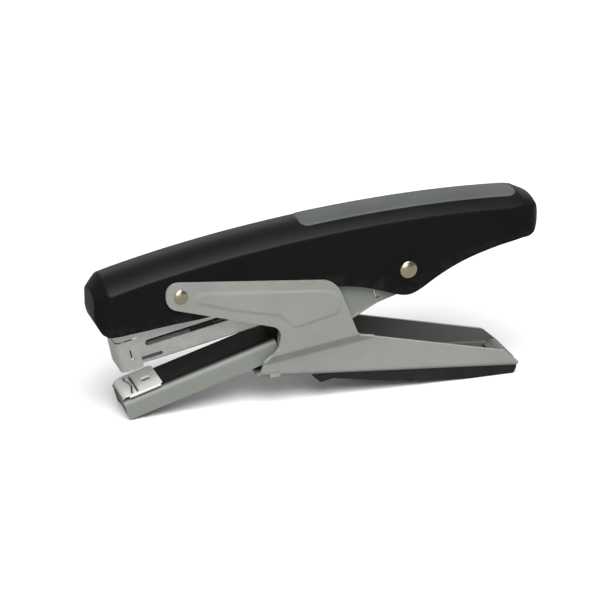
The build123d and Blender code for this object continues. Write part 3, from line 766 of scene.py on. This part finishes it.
def insert_pad():
    """Soft insert, a thin crowned pad that stands just proud of the roof."""
    half, corner = INSERT_HALF, INSERT_HALF * 0.97
    outline = round_path(
        [(INSERT_FRONT, 0, 0), (INSERT_FRONT, half, corner), (INSERT_REAR, half, corner),
         (INSERT_REAR, 0, 0)], closed=False, steps=24)
    rim = resample(outline, 0.8, closed=False)
    loop = rim + [(x, -y) for x, y in rim[::-1]][1:-1]

    def place(u, v):
        share = np.clip(edge_distance(u, v, loop) / INSERT_EDGE, 0, 1)
        lift = INSERT_LIFT * np.sqrt(1 - (1 - share) ** 2)
        return np.stack([u, v, roof_height(u) - crown_fall(v) - INSERT_SUNK + lift], -1)

    rows = np.linspace(-half, half, 25)
    obj = sheet_mesh("insert_pad", loop, [], place, rows, 0.8, lambda c: (0, 0, 1), mirror=False)
    solid(obj, INSERT_THICK)
    finish_piece(obj, SOFT, "upper_handle", "soft_insert", "grip_insert")


# ---- lower handle

HANDLE_R = 2.0  # outer radius of the floor's bends
HANDLE_FLAT = HANDLE_HALF - HANDLE_R
HANDLE_BEND = HANDLE_R * pi / 2
STEP_LOW = ((-21.9, 16.6), (13.4, 21.3))
STEP_HIGH = ((-18.2, 20.2), (10.3, 24.3))
FLOOR_END = 98.3  # where the floor starts to rise to its sill
SILL_RISE, SILL_RUN = 2.0, 2.0
TAIL_SLOT = (96.0, 98.4, 8.9)  # front, rear and half width
WINDOW_SIDE = 9.6  # inner side of the windows in the bends
# the panel pressed in each ear: corners as (x, z, radius)
PANEL_LOOP = round_path(
    [(-50.6, 44.6, 2.2), (-49.0, 48.5, 2.4), (-1.2, 43.9, 5.5), (5.4, 41.9, 4.0), (5.1, 33.8, 3.0),
     (-12.4, 30.0, 3.0), (-18.0, 35.4, 4.0), (-37.0, 40.1, 14)])
PANEL_RIM = 0.7
PANEL_RISE = 0.26


def handle_v(h):
    """Blank coordinate of a height above the floor line."""
    h = np.asarray(h, float)
    curved = HANDLE_R * np.arccos(np.clip(1 - h / HANDLE_R, -1, 1))
    return HANDLE_FLAT + np.where(h < HANDLE_R, curved, HANDLE_BEND + h - HANDLE_R)


def line_height(line, x):
    (x0, z0), (x1, z1) = line
    return z0 + (z1 - z0) * (x - x0) / (x1 - x0)


def handle_place(u, v):
    """Folds the lower handle's half blank: floor, bend, wall, step to the ear and pressed panel."""
    spot = handle_world(u, *fold(v, HANDLE_FLAT, HANDLE_R))
    x, z = spot[:, 0], spot[:, 2]
    t = (z - line_height(STEP_LOW, x)) / (line_height(STEP_HIGH, x) - line_height(STEP_LOW, x))
    out = (EAR_HALF - HANDLE_HALF) * np.clip(t, 0, 1)
    away = edge_distance(x, z, PANEL_LOOP)
    raised = np.where(inside(x, z, PANEL_LOOP), ease(away / PANEL_RIM), 0)
    spot[:, 1] += np.where(v < HANDLE_FLAT + HANDLE_BEND, 0, out + PANEL_RISE * raised)
    sill = (u > FLOOR_END) & (v <= HANDLE_FLAT)
    spot[:, 2] += np.where(sill, SILL_RISE * ease((u - FLOOR_END) / SILL_RUN), 0)
    return spot


def to_blank(points):
    """Points of the side view on the lower handle's blank."""
    out = []
    for x, z in points:
        u, h = handle_local(x, z)
        out.append((float(u), float(handle_v(max(h, 0.0)))))
    return out


def handle_body():
    """Folded lower handle with its ears, as one sheet."""
    side = round_path(
        [(-25.9, 11.4, 0), (-23.4, 17.2, 3.0), (-18.5, 22.6, 5.0), (-17.0, 30.6, 4.6),
         (-60.8, 43.6, 5.2), (-60.8, 53.4, 5.0), (3.6, 46.9, 8.5), (12.7, 23.7, 3.5), (71.6, 9.7, 3.0),
         (77.4, 4.5, 0.8), (76.2, 2.6, 0)], closed=False, steps=10)
    wall = to_blank(side)
    front, rear, half = TAIL_SLOT
    tail = [(wall[-1][0], 0.0), (rear, 0.0), (rear, half), (front, half), (front, 0.0)]
    top_left, top_right = to_blank([(-21.5, 13.0), (-17.6, 13.0)])
    lower_left, lower_right = to_blank([(-21.5, 11.6), (-17.6, 11.2)])
    window = [(lower_left[0], WINDOW_SIDE), top_left, top_right, (lower_right[0], WINDOW_SIDE)]
    bend_end = HANDLE_FLAT + HANDLE_BEND
    rows = np.r_[
        np.linspace(0.0, HANDLE_FLAT, 9)[1:], np.linspace(HANDLE_FLAT, bend_end, 9)[1:],
        np.arange(0.7, 46, 0.7) + bend_end]
    rim = resample(PANEL_LOOP, 0.5)
    creases = [to_blank(loop + loop[:1]) for loop in (rim, shrink(rim, PANEL_RIM))]
    for line in (STEP_LOW, STEP_HIGH):
        creases.append(to_blank([(x, line_height(line, x)) for x in np.arange(-26.0, 31.0, 0.7)]))
    outline = [(0.0, 0.0)] + wall + tail
    obj = sheet_mesh("handle_body", outline, [window], handle_place, rows, 0.7, creases=creases)
    solid(obj, BODY_SHEET)
    soft_edges(obj, 0.22)
    finish_piece(obj, ENAMEL, "lower_handle", "grey_paint", "lower_handle")


def grip_shell():
    """Black grip under the lower handle with its finger hook."""
    corners = [(-5.4, 9.85, 0.4), (-1.6, 6.2, 0.9), (3.0, 7.3, 2.0), (18.2, 4.6, 8), (38.3, 1.6, 24),
               (58.0, 0.0, 8), (75.6, 0.0, 0.8), (76.7, 2.4, 0.5), (76.4, 3.4, 0.2), (60.0, 4.9, 0),
               (30.0, 7.5, 0), (0.0, 10.1, 0)]
    loop = resample(round_path(corners), 2.0)
    obj = prism("grip_shell", [(x, y, z) for y in (-GRIP_HALF, GRIP_HALF) for x, z in loop])
    soft_edges(obj, 0.7, 40, 3)
    finish_piece(obj, BLACK_GRIP, "lower_handle", "black_plastic", "lower_grip")


# ---- anvil arm

ARM_HEIGHT, ARM_R = 8.0, 2.6
ARM_FLAT = ARM_HALF - ARM_R
ARM_BEND = ARM_R * pi / 2
WEB_END = 60.5
PLATE_SPAN = (2.5, 15.3)  # where the plate's lips sit in the arm's notches
LIP = 0.45  # straight part of a lip below its bend


def arm_place(u, v):
    """Folds the arm's half blank: web, bend, wall; behind the web the wall runs on upward."""
    across, fall = fold(v, ARM_FLAT, ARM_R)
    behind = u > WEB_END
    y = np.where(behind, ARM_HALF, across)
    h = ARM_HEIGHT - np.where(behind, ARM_R + (v - ARM_FLAT - ARM_BEND), fall)
    return arm_world(u, y, h)


def arm_body():
    """Folded anvil arm with its rear links."""
    base = ARM_FLAT + ARM_BEND
    bottom = base + ARM_HEIGHT - ARM_R

    def blank(x, z, r):
        u, h = arm_local(x, z)
        return (u, base + ARM_HEIGHT - ARM_R - h, r)

    link = [(44.5, bottom, 30), blank(-6.0, 20.5, 30), blank(12.0, 29.6, 20), blank(21.3, 34.5, 12),
            blank(29.5, 37.0, 8), blank(40.0, 41.5, 5), blank(40.0, 52.5, 5), blank(25.0, 53.5, 6),
            blank(-8.0, 38.0, 8), blank(-16.4, 31.5, 4)]
    web = [(WEB_END + 0.3, base - 0.6, 1.5), (WEB_END + 0.15, base + 0.5, 0)]
    path = round_path([(0.0, bottom, 0)] + link + web, closed=False, steps=10)
    path += [(WEB_END - 0.15, base + 0.5), (WEB_END - 0.15, 0.0), (0.0, 0.0)]
    front, rear = PLATE_SPAN
    notch = [(u, ARM_FLAT + v) for u, v in ((front, 0.9), (rear, 0.9), (rear, 1.75), (front, 1.75))]
    # small lanced mark near the rear pivot
    mark = [blank(x, z, 0)[:2] for x, z in (
        (19.6, 39.6), (20.6, 36.4), (22.0, 36.4), (21.3, 38.6), (21.0, 38.5), (21.55, 36.75),
        (20.85, 36.75), (19.95, 39.7))]
    rows = np.r_[
        np.linspace(0.0, ARM_FLAT, 6)[1:], ARM_FLAT + np.linspace(0, ARM_BEND, 10)[1:],
        base + np.arange(0.7, 12, 0.7), base - np.arange(0.7, 24, 0.7)]
    rows = np.unique(np.round(rows, 3))
    obj = sheet_mesh("arm_body", path, [notch, mark], arm_place, rows, 0.7, lambda c: (0, c.y, 0.2))
    solid(obj, BODY_SHEET)
    soft_edges(obj, 0.2)
    arm = baked(obj)
    inner = ARM_HALF - BODY_SHEET
    corners = [(-inner, 0.4), (inner, 0.4), (inner, 5.6), (inner - 1.3, 6.9), (1.3 - inner, 6.9),
               (-inner, 5.6)]
    tip = [tuple(arm_world(np.float64(u), y, h)) for u in (0.35, 1.5) for y, h in corners]
    arm = joined("arm_body", [arm, prism("arm_tip", tip)])
    finish_piece(arm, SHADED_ARM_ENAMEL, "anvil_arm", "grey_paint", "anvil_arm")


PLATE_SHEET, PLATE_SHOWN = 0.9, 0.55  # height of the plate over the web, thickness modelled
PLATE_HALF = ARM_HALF - 0.08
PLATE_BEND = 0.4
PLATE_NOSE_R = 1.8
PLATE_REAR = 15.9
POCKET_U = 5.7  # the two pockets lie across the plate here
POCKET_V = 3.55
POCKET_TURN = 7.0
POCKET_REACH = 2.8  # from a pocket's middle to where its ends start to round
POCKET_R, POCKET_FLARE = 0.8, 0.5  # half width at the middle, and its gain outward
POCKET_SINK, GROOVE, POCKET_LIP = 0.3, 1.05, 0.08  # floor, groove round it and raised rim


def pocket_dent(u, v):
    """Depth of the two staple pockets, which meet in the middle of the plate."""
    dent = 0.0
    for side in (-1, 1):
        turn = radians(POCKET_TURN) * side
        du, dv = u - POCKET_U, v - side * POCKET_V
        pu = du * cos(turn) + dv * sin(turn)
        pv = (-du * sin(turn) + dv * cos(turn)) * side
        half = POCKET_R + POCKET_FLARE * np.clip(pv / 5.2 + 0.5, 0, 1)
        away = np.hypot(np.clip(np.abs(pv) - POCKET_REACH, 0, None), pu) - half
        dent += POCKET_SINK * ease(-away / 0.3) + GROOVE * np.exp(-((away + 0.14) / 0.34) ** 2)
        dent -= POCKET_LIP * np.exp(-((away - 0.45) / 0.2) ** 2)
    return dent


def plate_place(u, v):
    """Anvil plate: top with the bow-tie pocket, front edge and side lips turned down."""
    across, side_fall = fold(v, PLATE_HALF - PLATE_BEND, PLATE_BEND)
    ahead, front_fall = fold(np.minimum(u - PLATE_NOSE_R, 0), 0, PLATE_NOSE_R)
    along = np.where(u < PLATE_NOSE_R, PLATE_NOSE_R - ahead, u)
    h = ARM_HEIGHT + PLATE_SHEET - side_fall - front_fall - pocket_dent(u, v)
    return arm_world(along, np.sign(v) * across, h)


def anvil_top():
    """Anvil plate with staple pockets."""
    bend_start = PLATE_HALF - PLATE_BEND
    bend_end = bend_start + PLATE_BEND * pi / 2
    wide, lip = PLATE_HALF - 1.0, bend_end + LIP
    front = PLATE_NOSE_R * (1 - pi / 2) - 0.3
    lip_front, lip_rear = PLATE_SPAN[0] + 0.25, PLATE_SPAN[1] - 0.25
    side = [(front, wide - 0.8, 0.5), (1.9, wide, 0.8), (lip_front, wide, 0.3), (lip_front, lip, 0.3),
            (lip_rear, lip, 0.3), (lip_rear, wide, 0.3), (PLATE_REAR, wide - 0.2, 0.4)]
    outline = round_path(side + [(u, -v, r) for u, v, r in side[::-1]], steps=4)
    half_rows = np.r_[
        np.arange(0.08, bend_start - 0.05, 0.16), np.linspace(bend_start, bend_end, 9), bend_end + 0.3]
    rows = np.r_[-half_rows[::-1], half_rows]
    obj = sheet_mesh(
        "anvil_top", outline, [], plate_place, rows, 0.16, lambda c: (0, 0, 1), mirror=False)
    solid(obj, PLATE_SHOWN)
    finish_piece(obj, ANVIL, "anvil_arm", "zinc_plate", "anvil_plate")


def rivet_profile(head_r, height, lip=0.12):
    """Domed head with a small flat rim, as (radius, height) from the rim inward."""
    ball = (head_r**2 + height**2) / (2 * height)
    points = [(head_r - 0.08, 0.0), (head_r, 0.08), (head_r, 0.08 + lip)]
    top = asin(head_r / ball)
    for i in range(1, 12):
        a = top * (1 - i / 11)
        points.append((max(ball * sin(a), 0.02), 0.08 + lip + ball * cos(a) - (ball - height)))
    return points


def cross_rivet(name, place, shank_r, head_r, seat, height):
    """Rivet across the width with a domed head at each end."""
    end = rivet_profile(head_r, height)
    left = [(r, -(seat + h)) for r, h in reversed(end)]
    right = [(r, seat + h) for r, h in end]
    profile = left + [(shank_r, -seat), (shank_r, seat)] + right
    return lathe(name, profile, Matrix.Translation(place))


def all_rivets():
    """Both pivots and the anvil rivet."""
    front = cross_rivet("front_pivot_rivet", FRONT_PIVOT, 1.7, 2.6, EAR_HALF, 0.58)
    finish_piece(front, NICKEL, "lower_handle", "rivet_nickel", "front_rivet")
    rear = cross_rivet("rear_pivot_rivet", REAR_PIVOT, 2.2, 3.35, COVER_HALF, 0.78)
    finish_piece(rear, NICKEL, "upper_handle", "rivet_nickel", "rear_rivet")
    seat = Vector(arm_world(np.float64(11.4), 0.0, ARM_HEIGHT + PLATE_SHEET))
    upright = Matrix.Rotation(radians(90), 4, "X")
    lean = Matrix.Rotation(-radians(ARM_SLOPE), 4, "Y")
    profile = [(1.9, -2.9), (1.9, -2.2), (1.3, -2.2), (1.3, 0.0)] + rivet_profile(1.95, 0.2, 0.03)
    anvil = lathe("anvil_plate_rivet", profile, Matrix.Translation(seat) @ lean @ upright)
    finish_piece(anvil, ANVIL_RIVET, "anvil_arm", "brass_rivet", "anvil_rivet")


# ---- magazine

CHANNEL_FRONT, CHANNEL_REAR = -109.9, -12.0
CHANNEL_FLOOR, CHANNEL_TOP = -5.9, 7.2
CHANNEL_R = 1.0


def channel_place(u, v):
    """Folds the magazine channel's half blank: floor, bend, wall."""
    across, rise = fold(v, CHANNEL_HALF - CHANNEL_R, CHANNEL_R)
    return mag_world(u, across, CHANNEL_FLOOR + rise)


def channel_v(w):
    """Blank coordinate of a height in the magazine's frame, on the wall."""
    return CHANNEL_HALF - CHANNEL_R + CHANNEL_R * pi / 2 + (w - CHANNEL_FLOOR - CHANNEL_R)


def slot_loop(u0, u1, w0, w1):
    """A slot with round ends in the channel's wall, on its blank."""
    r = (w1 - w0) / 2 - 0.01
    v0, v1 = channel_v(w0), channel_v(w1)
    return round_path([(u0, v0, r), (u1, v0, r), (u1, v1, r), (u0, v1, r)], steps=6)


def channel_body():
    """Magazine channel with its slots."""
    top = channel_v(CHANNEL_TOP)
    outline = [(CHANNEL_FRONT, 0.0), (CHANNEL_FRONT, top), (CHANNEL_REAR, top), (CHANNEL_REAR, 0.0)]
    holes = [slot_loop(-101.2, -50.0, 0.5, 2.9), slot_loop(-105.5, -95.6, -4.5, -3.0)]
    for heights in ((-2.3, 1.4), (4.6, 5.8)):  # clearances behind the head's lance and seam
        v0, v1 = (channel_v(w) for w in heights)
        holes.append([(-109.0, v0), (-105.9, v0), (-105.9, v1), (-109.0, v1)])
    rows = np.r_[
        np.linspace(0, CHANNEL_HALF - CHANNEL_R, 5)[1:],
        CHANNEL_HALF - CHANNEL_R + np.linspace(0, CHANNEL_R * pi / 2, 6)[1:],
        channel_v(np.arange(CHANNEL_FLOOR + 2.0, CHANNEL_TOP, 1.0))]
    obj = sheet_mesh("channel_body", outline, holes, channel_place, rows, 1.2)
    solid(obj, MAGAZINE_SHEET)
    soft_edges(obj, 0.15)
    finish_piece(obj, PLATED, "magazine", "zinc_plate", "magazine_channel")


HEAD_FRONT, HEAD_REAR = -112.2, -103.8
HEAD_FLOOR, HEAD_TOP, HEAD_STEP = -6.7, 9.0, 5.0
HEAD_R, HEAD_SHEET = 2.0, 0.7
HEAD_STEP_IN = 0.14  # how far the part above the seam is set in
SEAM_SHARE = 0.72  # how much of the side the seam runs over
LANCE_U = -107.6


def head_body():
    """Formed head wrapped round the front of the channel: side, front, side."""
    r = HEAD_R
    front_half = HEAD_HALF - r
    arc = r * pi / 2
    side_start = front_half + arc
    side_run = HEAD_REAR - HEAD_FRONT - r

    def place(u, v):
        y, back = fold(u, front_half, r)
        step_in = HEAD_STEP_IN * ease((v - HEAD_STEP) / 0.5)
        on_side = u > front_half + arc / 2
        y = y - np.where(on_side, step_in, 0)
        along = HEAD_FRONT + back + np.where(on_side, 0, step_in)
        return mag_world(along, y, v)

    end = side_start + side_run
    corners = [(0.0, HEAD_FLOOR, 0), (end, HEAD_FLOOR, 0.3), (end, HEAD_TOP, 0.3), (0.0, HEAD_TOP, 0)]
    outline = round_path(corners, steps=3)
    at = side_start + LANCE_U - HEAD_FRONT - r
    lance = [(at, -2.8), (at + 1.7, -2.8), (at + 1.7, -2.2), (at + 0.55, -2.2), (at + 0.55, 1.2),
             (at, 1.2)]
    seam_end = side_start + SEAM_SHARE * side_run
    seam = [(u, HEAD_STEP + v) for u, v in ((0.3, 0), (seam_end, 0), (seam_end, 0.4), (0.3, 0.4))]
    rows = np.r_[
        np.arange(HEAD_FLOOR + 0.5, HEAD_STEP - 0.4, 0.5),
        np.arange(HEAD_STEP - 0.4, HEAD_STEP + 1, 0.1),
        np.arange(HEAD_STEP + 1.4, HEAD_TOP, 0.6)]
    obj = sheet_mesh("head_body", outline, [lance, seam], place, rows, 0.4)
    solid(obj, HEAD_SHEET)
    soft_edges(obj, 0.05, segments=1)
    finish_piece(obj, HEAD_PLATE, "magazine", "zinc_plate", "magazine_head")


def staples():
    """Row of separate wire staples, glued into a strip."""
    half, wire, leg, corner = 6.45, 0.7, 6.0, 0.25
    top = CHANNEL_FLOOR + MAGAZINE_SHEET + 0.15 + leg + wire
    length, pitch, gap = 26.0, 0.52, 0.02
    right = [(half - corner, top), (half, top - corner), (half, top - leg), (half - wire, top - leg),
             (half - wire, top - wire)]
    left = [(-y, w) for y, w in right[::-1]]
    outline = left[2:] + right + left[:2]
    quads = [(0, 1, 8, 9), (1, 2, 3, 4), (1, 4, 7, 8), (4, 5, 6, 7)]
    n = len(outline)
    verts, faces = [], []
    for i in range(int(length / pitch)):
        base = len(verts)
        for u in (CHANNEL_FRONT + i * pitch + gap, CHANNEL_FRONT + (i + 1) * pitch - gap):
            verts += [tuple(mag_world(np.float64(u), y, w)) for y, w in outline]
        faces += prism_walls(n, base)
        faces += [tuple(cap + k for k in q) for cap in (base, base + n) for q in quads]
    obj = merged(mesh_object("staples", verts, faces), 1e-5)
    obj.data.shade_flat()
    finish_piece(obj, SHADED_WIRE, "magazine", "staple_wire", "staple_strip")


def wire_path(name, points, wire):
    """Round wire along a list of points."""
    curve = bpy.data.curves.new(name, "CURVE")
    curve.dimensions = "3D"
    curve.bevel_depth = wire * MM
    curve.bevel_resolution = 3
    curve.use_fill_caps = True
    line = curve.splines.new("POLY")
    line.points.add(len(points) - 1)
    for spot, p in zip(line.points, points):
        spot.co = (*(c * MM for c in p), 1)
    obj = new_object(name, curve)
    mesh = bpy.data.meshes.new_from_object(obj.evaluated_get(bpy.context.evaluated_depsgraph_get()))
    bpy.data.objects.remove(obj)
    mesh.shade_smooth()
    return new_object(name, mesh)


def pusher_coil():
    """Fine coil on the guide rod."""
    lo, hi = low("pusher_spring"), high("pusher_spring")
    front = mag_local(lo.x, lo.z)[0] + 0.8
    rear = mag_local(hi.x, hi.z)[0] - 0.8
    turns, per_turn, radius, rod_height = 26, 12, 1.12, 3.1
    points = []
    for t in np.linspace(0, 1, turns * per_turn + 1):
        a = 2 * pi * turns * t
        across, up = radius * cos(a), rod_height + radius * sin(a)
        points.append(tuple(mag_world(front + (rear - front) * t, across, up)))
    coil = wire_path("pusher_coil", points, 0.2)
    finish_piece(coil, STEEL, "magazine", "spring_steel", "pusher_spring")


def opening_coils():
    """Torsion spring round the rear pivot: a short coil at each side."""
    turns, radius, inner, outer = 2, 3.7, 4.9, 7.2
    x, _, z = REAR_PIVOT
    parts = []
    for side in (-1, 1):
        points = []
        for t in np.linspace(0, 1, turns * 24 + 1):
            a, across = 2 * pi * turns * t, side * (inner + (outer - inner) * t)
            points.append((x + radius * cos(a), across, z + radius * sin(a)))
        parts.append(wire_path("coil", points, 0.6))
    coils = joined("opening_coils", parts)
    finish_piece(coils, STEEL, "upper_handle", "spring_steel", "opening_spring")


cover_shell()
insert_pad()
handle_body()
grip_shell()
arm_body()
anvil_top()
all_rivets()
channel_body()
head_body()
staples()
pusher_coil()
opening_coils()

# CAD nodes that are seen as they are
CARRIED = {
    "inner_lever": STEEL, "driver_blade": STEEL, "driver_rivets": NICKEL, "magazine_spring": STEEL,
    "spring_rivet": NICKEL, "front_bush": PLATED, "lift_saddle": ENAMEL, "staple_rail": STEEL,
    "guide_rod": STEEL, "rod_stop": BLACK_GRIP, "magazine_bracket": PLATED, "bracket_rivets": NICKEL,
    "staple_pusher": BLACK_GRIP,
}
for node, material in CARRIED.items():
    obj = frame["nodes"][node]
    obj.data.materials.clear()
    obj.data.materials.append(material)


# ---- studio

def aimed(name, data, toward):
    """A light or camera that looks along a direction."""
    obj = new_object(name, data)
    obj.rotation_mode = "QUATERNION"
    obj.rotation_quaternion = Vector(toward).to_track_quat("-Z", "Y")
    return obj


def soft_light(name, toward, strength, spread_degrees):
    light = bpy.data.lights.new(name, "SUN")
    light.energy = strength
    light.angle = radians(spread_degrees)
    aimed(name, light, toward)


def pale_floor():
    """Large floor that looks paler to the camera than it is for bounced light."""
    bpy.ops.mesh.primitive_plane_add(size=6, location=(0, 0, -0.0002))
    floor = bpy.context.object
    floor.name = "floor"
    material, tree, shader = blank_material("pale_floor")
    seen = add(tree, "ShaderNodeLightPath").outputs["Is Camera Ray"]
    tone = blend(tree, seen, (0.30, 0.30, 0.30, 1), (0.92, 0.92, 0.92, 1))
    feed(tone, shader.inputs["Base Color"])
    feed(0.8, shader.inputs["Roughness"])
    feed(0.1, shader.inputs["Specular IOR Level"])
    floor.data.materials.append(material)


def studio():
    """Plain pale floor, soft light and the camera."""
    pale_floor()
    world = bpy.data.worlds.new("studio")
    bpy.context.scene.world = world
    world.use_nodes = True
    background = world.node_tree.nodes["Background"]
    feed((1.0, 1.0, 1.0, 1), background.inputs["Color"])
    feed(0.16, background.inputs["Strength"])

    soft_light("overhead", (0.14, 0.56, -1.0), 3.7, 50)
    soft_light("front_fill", (0.25, 1.0, -0.42), 0.95, 50)
    panel = bpy.data.lights.new("back_panel", "AREA")
    panel.shape = "RECTANGLE"
    panel.size, panel.size_y = 3.2, 1.2
    panel.energy = 14
    spot = Vector((0.6, 2.2, 1.0))
    aimed("back_panel", panel, -spot).location = spot

    camera = bpy.data.cameras.new("camera")
    camera.sensor_width = 36
    camera.lens = 162.12
    camera.clip_start = 0.05
    azimuth, elevation, distance = radians(-18.0), radians(21.7), 1.0
    back = Vector((sin(azimuth) * cos(elevation), -cos(azimuth) * cos(elevation), sin(elevation)))
    obj = aimed("camera", camera, -back)
    obj.location = Vector((-0.006, 0, 0.0353)) + back * distance
    bpy.context.scene.camera = obj
    bpy.context.scene.view_settings.view_transform = "Standard"


studio()
